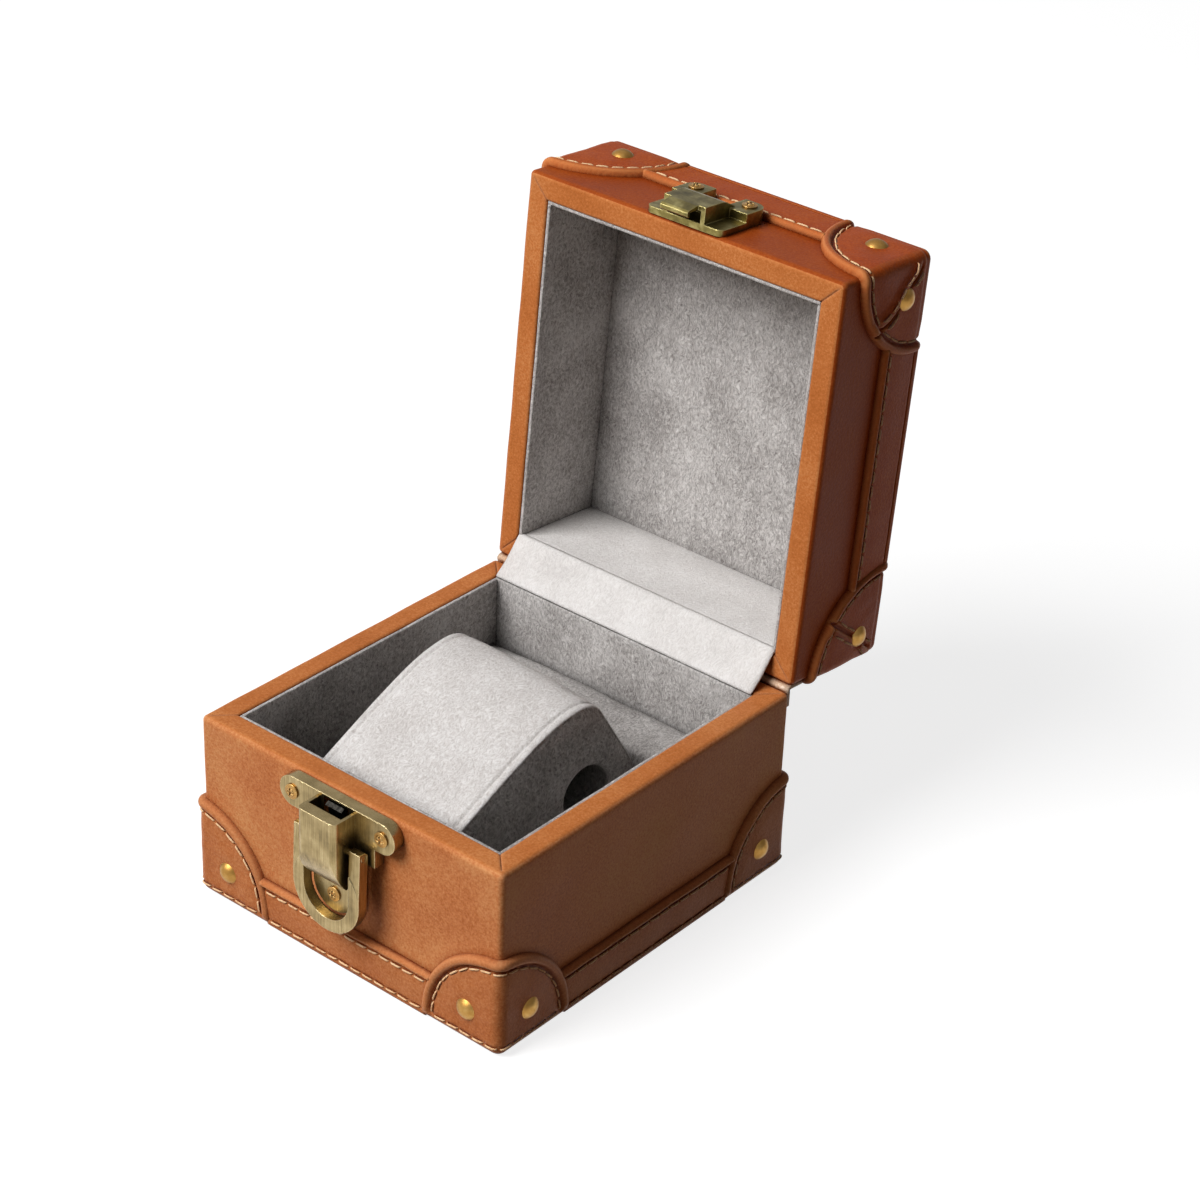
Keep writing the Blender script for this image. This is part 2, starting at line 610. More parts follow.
def roll(x, width, height, power=2.4):
    """The height of a rolled edge that wide, with x measured from its outer side."""
    inside = np.clip(1 - np.abs((x - width / 2) / (width / 2)) ** power, 0, 1)
    return height * inside ** (1 / power)


print("a roll 2 mm wide and 1 mm high, at its middle:", float(roll(1.0, 2.0, 1.0)))

# %% [markdown]
# ## Stitches
#
# A saddle stitch shows as a row of short dashes. Each one rises out of one hole, lies on the
# leather and dips into the next, so it is drawn as a small tube along an arch. A little
# random tilt keeps the row from looking printed.

# %% The stitch maker
THREAD_R = 0.26
PITCH, SHOWN = 4.2, 3.95               # from hole to hole, and how much of it shows
ALONG, ROUND = 13, 8                   # points along a stitch, and round it


def stitches(name, rows, body):
    """One piece with the stitches of several rows; a row is (points, outward directions)."""
    chance = random.Random(name)
    points, faces = [], []
    t = np.linspace(-0.5, 0.5, ALONG)
    arch = 0.16 + 0.24 * (1 - (2 * np.abs(t)) ** 4) - 0.5 * (2 * np.abs(t)) ** 12
    taper = np.sqrt(1.0001 - (2 * np.abs(t)) ** 6)
    for path, outward in rows:
        path, outward = np.asarray(path, float), np.asarray(outward, float)
        steps = np.linalg.norm(np.diff(path, axis=0), axis=1)
        along = np.concatenate([[0], np.cumsum(steps)])
        count = max(1, int(round(along[-1] / PITCH)))
        pitch = along[-1] / count
        for k in range(count):
            s = (k + 0.5) * pitch + t * SHOWN * (pitch / PITCH)
            spine = np.column_stack([np.interp(s, along, path[:, i]) for i in range(3)])
            out = np.column_stack([np.interp(s, along, outward[:, i]) for i in range(3)])
            out /= np.linalg.norm(out, axis=1)[:, None]
            ahead = np.gradient(spine, axis=0)
            ahead /= np.linalg.norm(ahead, axis=1)[:, None]
            side = np.cross(out, ahead)
            lean = chance.uniform(-0.1, 0.22)
            spine = spine + out * arch[:, None] + side * (lean * 2 * t)[:, None]
            radius = THREAD_R * chance.uniform(0.9, 1.08) * taper
            start = len(points)
            for p, r, o, w in zip(spine, radius, out, side):
                for a in np.linspace(0, 2 * math.pi, ROUND, endpoint=False):
                    points.append(p + r * (math.cos(a) * w + math.sin(a) * o))
            faces += grid(ALONG, ROUND, around=True, start=start)
            last = start + (ALONG - 1) * ROUND
            faces += [tuple(range(start, start + ROUND)), tuple(range(last, last + ROUND))]
    return make(name, points, faces, THREAD, body)


print("stitches:", PITCH, "mm from hole to hole")

# %% [markdown]
# ## The leather of the two halves
#
# Each half is wrapped in one hide that goes round the walls, rolls over the rim and is cut at
# the corners in a mitre. Leather that is pulled over a board rounds its edge by about one and
# a half millimetres, more than the board itself, so the wrap and the rim are drawn again as
# one skin that rolls over. First comes its side view, which is then carried round the tray.

# %% The side view of a skin
RIM_R = 1.5                            # the roll over the rim's outer edge
RIM_IN_R = 0.8                         # the roll at its inner edge
SKIRT = 3.0                            # how far the leather goes down inside
HIDE_T = 0.9                           # thickness of the leather


def skin_line(height, end):
    """The skin's side view as (inward, up) points, from inside the rim to under the bottom."""
    turn = np.linspace(0, math.pi / 2, 9)
    inner = (WALL - RIM_IN_R + RIM_IN_R * np.cos(turn), height - RIM_IN_R + RIM_IN_R * np.sin(turn))
    top = (np.linspace(WALL - RIM_IN_R, RIM_R, 8)[1:-1], np.full(6, height))
    outer = (RIM_R - RIM_R * np.sin(turn), height - RIM_R + RIM_R * np.cos(turn))
    wall = (np.zeros(32), np.linspace(height - RIM_R, EDGE_R, 34)[1:-1])
    foot = (EDGE_R - EDGE_R * np.cos(turn), EDGE_R - EDGE_R * np.sin(turn))
    under = (np.linspace(EDGE_R, end, 12)[1:], np.zeros(11))
    front = [((WALL,), (height - SKIRT,)), inner, top, outer, wall, foot, under]
    back = [(end, HIDE_T), (HIDE_T, HIDE_T), (HIDE_T, height - 1.2), (WALL - HIDE_T, height - 1.2)]
    back.append((WALL - HIDE_T, height - SKIRT))
    return np.vstack([np.column_stack(part) for part in front] + [back])


print("the base's side view has", len(skin_line(BASE_H, TURN_IN)), "points")

# %% [markdown]
# ### Round the tray
#
# The side view is moved along each side and turned at each corner, which gives rings of
# points. Columns stand close together beside a mitre, where a hairline groove marks the cut.
# Broad ripples let the leather lie a little loose on its boards. The lid's hide has no hole
# in its top, so the last ring is filled on both sides.

# %% The skins
BESIDE_MITRE = np.array([0, 0.12, 0.3, 0.7, 1.4])
MITRE_W, MITRE_DEEP = 0.22, 0.3
LOOSE = 3                              # the ripples push out from a core that far inside
SIDES = ((0, -1), (1, 0), (0, 1), (-1, 0))


def skin_rings(inward, up_c, height):
    """The side view's points at every column round the tray."""
    rings = []
    on_rim = smooth_step(inward, 1.0, 2.5) * (up_c > height - 1)
    round_r, core = np.maximum(EDGE_R - inward, 0), np.maximum(inward, EDGE_R)
    for k, (nx, ny) in enumerate(SIDES):
        tx, ty = -ny, nx
        half_run, half_out = (HALF_W, HALF_D) if ny else (HALF_D, HALF_W)
        reach = np.minimum(half_run - EDGE_R, half_run - inward)
        middle = np.linspace(-1, 1, 64)[1:-1]
        runs = [(-reach + d, d) for d in BESIDE_MITRE] + [((reach - 2) * t, 9) for t in middle]
        runs += [(reach - d, d) for d in BESIDE_MITRE[::-1]]
        out = half_out - inward
        for run, from_mitre in runs:
            dropped = up_c - MITRE_DEEP * math.exp(-((from_mitre / MITRE_W) ** 2)) * on_rim
            rings.append(np.column_stack([tx * run + nx * out, ty * run + ny * out, dropped]))
        mx, my = SIDES[(k + 1) % 4]
        for turn in np.linspace(0, math.pi / 2, 8)[1:-1]:
            ux = nx * math.cos(turn) + mx * math.sin(turn)
            uy = ny * math.cos(turn) + my * math.sin(turn)
            x = (nx + mx) * (HALF_W - core) + ux * round_r
            y = (ny + my) * (HALF_D - core) + uy * round_r
            rings.append(np.column_stack([x, y, up_c - MITRE_DEEP * on_rim]))
    return rings


def skin(tray_name):
    """One tray's leather as a single piece."""
    height = TRAYS[tray_name]["height"]
    line = skin_line(height, TURN_IN if tray_name == "base" else HALF_W - 8)
    inward, up_c = line.T
    n = len(line)
    rings = skin_rings(inward, up_c, height)
    points = np.vstack(rings)
    wave = ripple(points, 16, 0.16, 5) + ripple(points, 5, 0.04, 6)
    core = np.array([HALF_W - LOOSE, HALF_D - LOOSE, height - LOOSE])
    away = points - np.clip(points, core * (-1, -1, 0) + (0, 0, LOOSE), core)
    size = np.linalg.norm(away, axis=1)
    loose = (np.arange(n) < n - 5) * (1 - smooth_step(inward, 20, 35))
    shown = np.tile(loose, len(rings)) * (size > 0.5)
    points = points + away / np.maximum(size, 0.5)[:, None] * (wave * shown)[:, None]
    faces = grid(len(rings), n, around=True)
    last = (len(rings) - 1) * n
    faces += [(last + j, last + (j + 1) % n, (j + 1) % n, j) for j in range(n)]
    if tray_name == "lid":
        outer = n - 6
        faces = [f for f in faces if not {f[0] % n, f[1] % n} == {outer, outer + 1}]
        faces += [tuple(ring * n + k for ring in range(len(rings))) for k in (outer, outer + 1)]
    pulled = (inward > 0.35 * RIM_R) & (up_c > height - SKIRT - 0.1)
    on_rim = [int(all(pulled[i % n] for i in f)) for f in faces]
    nodes = [f"{tray_name}_leather_wrap", f"{tray_name}_rim_leather"]
    return make(f"{tray_name}_leather_skin", TRAYS[tray_name]["place"](points), faces,
                SKINS[tray_name], tray_name, nodes, second=(RIM, on_rim))


for tray_name in TRAYS:
    skin(tray_name)

# %% [markdown]
# ## Corner caps
#
# Each corner cap is one piece of wetted leather, pressed over the corner and sewn. Its edge
# is folded under, which gives the thick rolled rim, and a row of stitches holds the fold down
# in a shallow groove. On the base a second row runs close to the box's edge. A lid's cap has
# a lapped seam across its side flap instead, with stitches beside it.
#
# A cap is drawn in the corner's own measures: a runs from the corner along the front or back,
# b along the side, and c up from the tray's underside. Its outline is round, and points of
# the pattern that lie outside it are moved onto it.

# %% The outline of a cap
CAP_OFF = 1.5                          # the outline's centre: out past the corner, and up


def inside(q, cut):
    """How far pattern points q = (a, b, c) lie inside the outline of a cap's cut."""
    a, b, c = q.T
    wall = cut["r"] - np.hypot(a + b + CAP_OFF, c - CAP_OFF)
    foot = cut["r"] - np.hypot(a + CAP_OFF, b + CAP_OFF)
    if cut["stands"]:
        foot = np.minimum(foot, TURN_IN - np.minimum(a, b))
    return np.where(c > 0, wall, foot)


def snap(q, cut, on_wall):
    """Moves pattern points that lie outside the outline onto it."""
    q = q.copy()
    for _ in range(3):
        d = inside(q, cut)
        if on_wall:
            run = q[:, 0] + q[:, 1]
            away = np.column_stack([run + CAP_OFF, q[:, 2] - CAP_OFF])
            away /= np.linalg.norm(away, axis=1)[:, None]
            run = np.where(d < 0, np.maximum(run + d * away[:, 0], 0), run)
            first = q[:, 0] > 0
            q[:, 0], q[:, 1] = np.where(first, run, 0), np.where(first, 0, run)
            q[:, 2] = np.where(d < 0, q[:, 2] + d * away[:, 1], q[:, 2])
        else:
            away = q[:, :2] + CAP_OFF
            past = np.linalg.norm(away, axis=1)
            move = np.minimum(cut["r"] - past, 0)[:, None] * away / past[:, None]
            q[:, :2] = np.maximum(q[:, :2] + move, 0)
            if cut["stands"]:
                low = np.argmin(q[:, :2], axis=1)
                rows = np.arange(len(q))
                q[rows, low] = np.minimum(q[rows, low], TURN_IN)
    return q


print("the base's caps reach", TRAYS["base"]["cap_r"] - CAP_OFF, "mm from the corner")

# %% [markdown]
# ### Seams and nails
#
# The flap of a lid's cap is lapped over the flap beside it, and the seam bends up round the
# nail. Its line was read from the photograph. Two nails with domed heads hold each cap, and
# the leather stays smooth under them, so the relief has to know how far away both are.

# %% Seams and nails of the caps
NAIL_IN, NAIL_UP = 10.0, 9.0           # where the nails are, from the corner
SEAM_NAIL_IN = 6.8                     # the lid's rear side nails sit on the seam
# the seam of a lid cap's side flap, as (b, c) from the corner
FRONT_SEAM = [(-2.7, 2.2), (0.8, 3.6), (4.4, 5.9), (7.2, 9.2), (11.1, 12.3), (14.3, 16), (17.5, 22.5)]
REAR_SEAM = [(-2.5, -0.5), (-0.8, 0.5), (1.6, 3.8), (5.9, 9.4), (8.6, 13.7), (14.8, 23.0)]


def to_line(b, c, line):
    """Distance from points (b, c) to a broken line, positive on its left side."""
    best = np.full(len(b), np.inf)
    sign = np.ones(len(b))
    for (b0, c0), (b1, c1) in zip(line, line[1:]):
        db, dc = b1 - b0, c1 - c0
        t = np.clip(((b - b0) * db + (c - c0) * dc) / (db * db + dc * dc), 0, 1)
        away = np.hypot(b - b0 - t * db, c - c0 - t * dc)
        nearer = away < best
        side = np.sign(db * (c - c0) - dc * (b - b0))
        best, sign = np.where(nearer, away, best), np.where(nearer, side, sign)
    return best * sign


def from_nails(q, side_in):
    """Distance of pattern points from the nearer nail of the corner."""
    a, b, c = q.T
    front, side = np.hypot(a - NAIL_IN, c - NAIL_UP), np.hypot(b - side_in, c - NAIL_UP)
    return np.where(a > b, front, side)


print("seams:", len(FRONT_SEAM), "and", len(REAR_SEAM), "points")

# %% [markdown]
# ### The relief of a cap
#
# d is how far a point is inside the outline. The rolled rim stands at the outline, the groove
# of the stitches lies just inside it, and the skin swells a little beyond. Where a seam
# crosses, one flap is higher and a valley runs beside it. The foot is flat, because the box
# stands on it.

# %% Cap thickness
CAP_SKIN = 1.3                         # leather thickness
ROLL_W, ROLL_H = 2.7, 2.05             # the rolled rim
STITCH_IN = 3.65                       # the stitch row, in from the outline
STITCH_UP = 1.5                        # the stitch row along the box's edge
FOOT_H = 1.42                          # thickness where the box stands on it
FOOT_ROLL = 0.9                        # the rounding of the foot's edge


def cap_height(q, cut, seam):
    """Thickness of the cap at pattern points, with the relief of a seam if there is one."""
    a, b, c = q.T
    d = inside(q, cut)
    rim = roll(d, ROLL_W, ROLL_H)
    skin = CAP_SKIN + 0.2 * smooth_step(d, 4.0, 9) - 0.75 * dip(d, ROLL_W + 0.35, 0.6)
    skin -= 0.35 * dip(c, STITCH_UP, 0.6) * smooth_step(d, 2.5, 4)
    skin = np.where(d < ROLL_W / 2, 0, np.maximum(skin, 0.02))
    height = (rim**5 + skin**5) ** 0.2
    if seam is not None:
        off = to_line(b, c, seam)
        lap = 0.5 * smooth_step(off, -0.3, 0.3) * (1 - smooth_step(off, 1.5, 5))
        valley = (0.95 + 0.6 * (1 - smooth_step(d, 2, 4))) * dip(off, -0.35, 0.55)
        fade = smooth_step(d, 0, 1.2) * smooth_step(b, 0.6, 3) * smooth_step(c, 1.2, 4)
        fade = fade * smooth_step(from_nails(q, cut["side_in"]), 2.7, 4.0)
        height = height + np.where(a < 0.01, (lap - valley) * fade, 0)
    if cut["stands"]:
        flat = FOOT_H * np.clip(1 - np.clip(1 - d / FOOT_ROLL, 0, 1) ** 2.4, 0, 1) ** (1 / 2.4)
        height = flat + (height - flat) * smooth_step(c, 0.2, 2.6)
    return np.where(d > 1e-6, np.maximum(height, 0.05), 0.0)


def bent(q, height, cut):
    """Places pattern points that high over the tray's rounded surface, and gives outward."""
    place, (sx, sy) = TRAYS[cut["tray"]]["place"], cut["corner"]
    core = np.maximum(q, EDGE_R)
    out = q - core
    out /= np.linalg.norm(out, axis=1)[:, None]
    p = core + (EDGE_R + height)[:, None] * out
    flip = np.array([-sx, -sy, 1.0])
    middle = np.array([sx * HALF_W, sy * HALF_D, 0.0])
    placed = place(middle + p * flip)
    return placed, place(middle + (p + out) * flip) - placed


print("a cap's rim is", ROLL_W, "mm wide and", ROLL_H, "mm high")

# %% [markdown]
# ### The leather of a cap
#
# The pattern is two grids, one that goes round the corner on the walls and one under the box.
# Only the faces that touch the outline's inside are kept. They are pushed out by the
# thickness, copied a little under the tray's surface and closed along their border, so the
# cap is a solid piece of leather.

# %% Cap leather
CAP_STEP = 0.4                         # grid size of the pattern
SUNK = -0.3                            # the cap's inner side, just under the tray's surface


def cap_patterns(r):
    """The wall's and the foot's grid, each as (points, rows, columns, whether it is the wall)."""
    reach = r + CAP_STEP
    s = np.arange(-reach, reach + CAP_STEP / 2, CAP_STEP)
    s -= s[np.argmin(np.abs(s))]
    c = np.append(np.linspace(0, 3, 12)[:-1], np.arange(3, r + 2, CAP_STEP))
    run, up_c = np.meshgrid(s, c)
    run, up_c = run.ravel(), up_c.ravel()
    wall = np.column_stack([np.maximum(-run, 0), np.maximum(run, 0), up_c])
    side = np.append(0, np.geomspace(0.35, 3, 7))
    side = np.append(side[:-1], np.arange(3, reach, 2 * CAP_STEP))
    foot_a, foot_b = np.meshgrid(side, side)
    foot = np.column_stack([foot_a.ravel(), foot_b.ravel(), np.zeros(foot_a.size)])
    return (wall, len(c), len(s), True), (foot, len(side), len(side), False)


def border(faces, q):
    """The open edges of some faces, without those on the fold between wall and foot."""
    edges = {edge: True for f in faces for edge in zip(f, f[1:] + f[:1])}
    on_fold = (q[:, 2] < 1e-6) & (q[:, :2].min(axis=1) < 1e-6)
    return [(i, j) for i, j in edges if (j, i) not in edges and not (on_fold[i] and on_fold[j])]


def cap_leather(cut):
    """The leather of a cap, in place of the CAD cap of that name."""
    points, faces = [], []
    for q, rows, columns, on_wall in cap_patterns(cut["r"]):
        d = inside(q, cut)
        keep = [f for f in grid(rows, columns) if max(d[list(f)]) > 1e-6]
        q = snap(q, cut, on_wall)
        soft = ripple(q, 9, 0.22, cut["seed"]) + ripple(q, 3.2, 0.07, cut["seed"] + 1)
        soft = soft * smooth_step(from_nails(q, cut["side_in"]), 2.5, 4.5)
        soft = soft * smooth_step(inside(q, cut), 0.3, 2.5) * smooth_step(q[:, 2], 0, 3)
        outer, _ = bent(q, cap_height(q, cut, cut["seam"]) + soft, cut)
        inner, _ = bent(q, np.full(len(q), SUNK), cut)
        start, under = len(points), len(points) + len(q)
        points += list(outer) + list(inner)
        faces += [tuple(start + i for i in f) for f in keep]
        faces += [tuple(under + i for i in reversed(f)) for f in keep]
        faces += [(start + j, start + i, under + i, under + j) for i, j in border(keep, q)]
    # unused points are dropped, so that only the leather is left
    used = sorted({i for f in faces for i in f})
    new = {old: k for k, old in enumerate(used)}
    faces = [tuple(new[i] for i in f) for f in faces]
    return make(cut["name"] + "_leather", [points[i] for i in used], faces, CAPS[cut["tray"]],
                cut["tray"], [cut["name"]])


print("a base cap's patterns:", [len(q) for q, *_ in cap_patterns(TRAYS["base"]["cap_r"])], "points")

# %% [markdown]
# ### The stitches of a cap
#
# One row follows the round outline. It stops where it would cross the seam of a lid's cap.
# Beside that seam two short rows run as far as they are clear of the rim, the box's edge and
# the nail. On the base a hem row runs round the corner, low on the walls.

# %% Cap stitches
SEAM_ROWS = (2.1, -1.7)                # to the left and right of the seam
ROW_POINTS = 60


def round_corner(near, up_c):
    """A row at distances from the corner, along one wall and then along the other."""
    zero = np.zeros_like(near)
    first, other = np.column_stack([near, zero, up_c]), np.column_stack([zero, near, up_c])
    return np.vstack([first, other[::-1][1:]])


def unbroken(row, good):
    """The stretches of a row where good holds."""
    cuts = np.flatnonzero(np.diff(good.astype(int))) + 1
    return [row[run] for run in np.split(np.arange(len(row)), cuts) if good[run[0]]]


def cap_rows(cut):
    """The rows of stitches, each with the seam that its leather's height follows."""
    ring, seam = cut["r"] - STITCH_IN, cut["seam"]
    low, high = math.asin((STITCH_UP - CAP_OFF) / ring), math.acos(CAP_OFF / ring)
    turn = np.linspace(low, high, ROW_POINTS)
    arch = round_corner(ring * np.cos(turn) - CAP_OFF, CAP_OFF + ring * np.sin(turn))
    if seam is None:
        near = np.linspace(ring * math.cos(low) - CAP_OFF - 0.6, 0, ROW_POINTS)
        return [(arch, None), (round_corner(near, np.full(ROW_POINTS, STITCH_UP)), None)]
    clear = (arch[:, 0] > 0) | (np.abs(to_line(arch[:, 1], arch[:, 2], seam)) > 1.2)
    rows = [(row, None) for row in unbroken(arch, clear) if len(row) > 2]
    t = np.linspace(0, len(seam) - 1, ROW_POINTS)
    b, c = (np.interp(t, range(len(seam)), line) for line in np.transpose(seam))
    ahead = np.column_stack([np.gradient(b), np.gradient(c)])
    ahead /= np.linalg.norm(ahead, axis=1)[:, None]
    for off in SEAM_ROWS:
        q = np.column_stack([np.zeros(ROW_POINTS), b - off * ahead[:, 1], c + off * ahead[:, 0]])
        good = (inside(q, cut) > STITCH_IN + 0.5) & (q[:, 1] > 0.5)
        good &= (q[:, 2] > STITCH_UP + 1.5) & (from_nails(q, cut["side_in"]) > 3.6)
        rows += [(row, seam) for row in unbroken(q, good) if len(row) > 3]
    return rows


print("rows beside a seam:", SEAM_ROWS, "mm off")

# %% [markdown]
# ### Eight caps
#
# The base's four caps are cut alike. The lid's are larger, and their seam depends on whether
# they are in front or at the back.

# %% The caps
CORNERS = {"front_left": (-1, -1), "front_right": (1, -1), "rear_left": (-1, 1), "rear_right": (1, 1)}
for tray_name in TRAYS:
    for number, (place, corner) in enumerate(CORNERS.items()):
        stands, in_front = tray_name == "base", corner[1] < 0
        cut = dict(name=f"{tray_name}_cap_{place}", tray=tray_name, corner=corner, stands=stands)
        cut["r"] = TRAYS[tray_name]["cap_r"]
        cut["seed"] = number if stands else number + 4
        cut["seam"] = None if stands else (FRONT_SEAM if in_front else REAR_SEAM)
        cut["side_in"] = NAIL_IN if stands or in_front else SEAM_NAIL_IN
        cap_leather(cut)
        rows = [bent(q, cap_height(q, cut, seam), cut) for q, seam in cap_rows(cut)]
        stitches(cut["name"] + "_stitches", rows, tray_name)

# %% [markdown]
# ## Edge strips
#
# Between the caps a strip of leather covers the joint of the walls and the bottom. Its upper
# edge is folded over a cord, which gives the round bead, and a row of stitches holds it under
# the bead. On the base a second row runs near the bottom. The strip turns under the box, and
# its ends lie under the rims of the caps, so they follow the caps' round outlines.

# %% The side view of a strip
STRIP_T = 1.2
BEAD_R, BEAD_OUT = 1.0, 2.0            # half the bead's height, and how far it stands out
STRIP_ROWS = (3.0, 1.1)                # stitch rows: below the top edge, above the bottom edge


def strip_profile(height):
    """The strip's cross section as (out from the wall, up), from its top edge to its inner end."""
    up_c = np.linspace(height, 1.2, 60)
    bead = BEAD_OUT * np.sqrt(np.clip(1 - ((up_c - (height - BEAD_R)) / BEAD_R) ** 2, 0, 1))
    skin = STRIP_T + 0.12 * dip(up_c, height / 2, height / 4)
    skin = skin - 0.6 * dip(up_c, height - 2 * BEAD_R - 0.4, 0.55) - 0.3 * dip(up_c, STRIP_ROWS[1], 0.5)
    skin = np.where(up_c > height - BEAD_R, 0, skin)
    out = (bead**4 + skin**4) ** 0.25
    turn = np.linspace(0, math.pi / 2, 8)
    corner = np.column_stack([STRIP_T * np.cos(turn), -STRIP_T * np.sin(turn)])
    wall = np.column_stack([out, up_c])
    middle = np.column_stack([np.full(4, STRIP_T), np.linspace(1.1, 0.1, 4)])
    leg = np.column_stack([np.linspace(-0.5, -TURN_IN + 0.3, 8), np.full(8, -STRIP_T)])
    back = [(-TURN_IN, -0.6), (-TURN_IN, 0.2), (-0.3, 0.2), (-0.3, height - 0.3)]
    return np.vstack([wall, middle, corner, leg, back])


def strip_end(out, up_c, r):
    """How far from the corner a cap's outline lies, for points of the strip's profile."""
    beside = np.where(up_c >= 0, up_c - CAP_OFF, np.maximum(CAP_OFF - out, CAP_OFF))
    return np.sqrt(r * r - beside * beside) - CAP_OFF


print("a strip's side view has", len(strip_profile(TRAYS["base"]["strip_h"])), "points")

# %% [markdown]
# ### Along the sides
#
# Each strip's side view is repeated along its side of the tray, and its length grows or
# shrinks with the height so that it ends under the caps. It was laid by hand, so it drifts up
# and down and stands off by a few tenths of a millimetre, and the stitches drift with it.

# %% The strips
COLUMNS, ROW_COLUMNS = 90, 60          # along the leather, and along a row of stitches
UNDER_CAP = 0.7                        # how far a strip goes on under the cap's rim


def drift(t, sign, half_run):
    """How far the strip strays up or down at t, from -1 at one end to 1 at the other."""
    return 0.3 * noise.noise(Vector((t * 2.2, sign * 9, half_run)))


def strip(tray_name, side_name):
    """The strip along one side, and its rows of stitches."""
    tray = TRAYS[tray_name]
    along_x = side_name in ("front", "rear")
    sign = -1 if side_name in ("front", "left") else 1
    half_run, half_out = (HALF_W, HALF_D) if along_x else (HALF_D, HALF_W)
    profile = strip_profile(tray["strip_h"])
    out, up_c = profile.T
    limit = half_run - strip_end(out, up_c, tray["cap_r"]) + UNDER_CAP

    def place(run, out, up_c):
        lateral = np.full_like(run, sign) * (half_out + out)
        p = (run, lateral, up_c) if along_x else (lateral, run, up_c)
        return tray["place"](np.column_stack(p))

    points = []
    for t in np.linspace(-1, 1, COLUMNS):
        wave = 0.16 * noise.noise(Vector((t * 5, half_out + sign, tray["strip_h"])))
        moved = np.where(out > 0.5, out + wave * (up_c > 0), out)
        lifted = up_c + drift(t, sign, half_run) * smooth_step(up_c, 4, 10) * (out > 0)
        points += list(place(limit * t, moved, lifted))
    n = len(profile)
    faces = grid(COLUMNS, n, around=True)
    faces += [tuple(range(n)), tuple(range((COLUMNS - 1) * n, COLUMNS * n))]
    rows = []
    strays = np.array([drift(t, sign, half_run) for t in np.linspace(-1, 1, ROW_COLUMNS)])
    levels = (tray["strip_h"] - STRIP_ROWS[0], STRIP_ROWS[1])
    for level in levels if tray_name == "base" else levels[:1]:
        reach = half_run - strip_end(STRIP_T, np.array([level]), tray["cap_r"])[0] - 0.3
        run = np.linspace(-reach, reach, ROW_COLUMNS)
        depth = np.full(ROW_COLUMNS, STRIP_T - 0.15)
        height = level + strays * smooth_step(level, 4, 10)
        path = place(run, depth, height)
        rows.append((path, place(run, depth + 1, height) - path))
    return points, faces, rows


for tray_name in TRAYS:
    node = f"{tray_name}_edge_strips"
    all_points, all_faces, all_rows = [], [], []
    for side_name in ("front", "rear", "left", "right"):
        points, faces, rows = strip(tray_name, side_name)
        all_faces += [tuple(i + len(all_points) for i in f) for f in faces]
        all_points += points
        all_rows += rows
    make(node + "_leather", all_points, all_faces, CAPS[tray_name], tray_name, [node])
    stitches(node + "_stitches", all_rows, tray_name)

# %% [markdown]
# ## Suede linings and the rest pad
#
# The walls are lined with thin card wrapped in microsuede. The cloth rounds the card's edges
# and lies a little unevenly on the glue. Each lining takes its place and size from the CAD
# part: the part's box is found on its tray, and a rounded, finely divided card fills it.


# %% Rounded cards
def rounded_block(low, high, radius, step, swell=0.0, seed=0, rough=0.0):
    """Points and faces of a box with round edges, swollen a little in the middle of each face."""
    low, high = np.asarray(low, float), np.asarray(high, float)
    size = high - low
    ticks = []
    for axis in range(3):
        edge = np.array([0, 0.35, 0.7, 1.0]) * radius
        count = max(2, int((size[axis] - 2 * radius) / step))
        middle = np.linspace(radius, size[axis] - radius, count + 1)[1:-1]
        ticks.append(np.concatenate([edge, middle, size[axis] - edge[::-1]]))
    points, faces = [], []
    for axis in range(3):
        u, v = [i for i in range(3) if i != axis]
        for end in (0.0, size[axis]):
            gu, gv = np.meshgrid(ticks[u], ticks[v])
            q = np.zeros((gu.size, 3))
            q[:, u], q[:, v], q[:, axis] = gu.ravel(), gv.ravel(), end
            faces += grid(len(ticks[v]), len(ticks[u]), start=len(points))
            points += list(q)
    q = np.array(points)
    core = np.clip(q, radius, size - radius)
    out = q - core
    out /= np.linalg.norm(out, axis=1)[:, None]
    t = 2 * q / size - 1
    bulge = np.prod(np.where(np.abs(out) > 0.5, 1, 1 - np.clip(np.abs(t), 0, 1) ** 4), axis=1)
    height = radius + swell * (bulge - 1) + ripple(q + low, 11, rough, seed) * bulge
    return low + core + height[:, None] * out, faces


def on_tray(node, tray_name):
    """Lowest and highest corner of a CAD part, in its tray's millimetres."""
    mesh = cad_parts[node].data
    p = np.empty(len(mesh.vertices) * 3)
    mesh.vertices.foreach_get("co", p)
    p = p.reshape(-1, 3) * 1000
    if tray_name == "lid":
        p = (swing(p, OPEN) - (0, 0, LID_TOP)) * (1, 1, -1)
    else:
        p = p - (0, 0, BASE_LIFT)
    return p.min(axis=0), p.max(axis=0)


low, high = on_tray("base_lining_floor", "base")
print("the floor's lining is", np.round(high - low, 1), "mm")

# %% [markdown]
# ### Ten linings and a pad
#
# The lid's rear lining carries on from the gusset in the hinge and is as pale as that, so it
# gets the same finish. The pad behind the cushion is stuffed, so its faces swell.

# %% The linings and the rest pad
LINING_R, PAD_R = 0.3, 4.0             # rounding of the edges
LININGS = [
    (tray_name, side_name)
    for tray_name, last in (("base", "floor"), ("lid", "top"))
    for side_name in ("front", "rear", "left", "right", last)
]
for number, (tray_name, side_name) in enumerate(LININGS, start=1):
    node = f"{tray_name}_lining_{side_name}"
    low, high = on_tray(node, tray_name)
    points, faces = rounded_block(low, high, LINING_R, 2.5, seed=number, rough=0.1)
    points = TRAYS[tray_name]["place"](points)
    finish = GUSSET if node == "lid_lining_rear" else SUEDE
    make(node + "_suede", points, faces, finish, tray_name, [node])

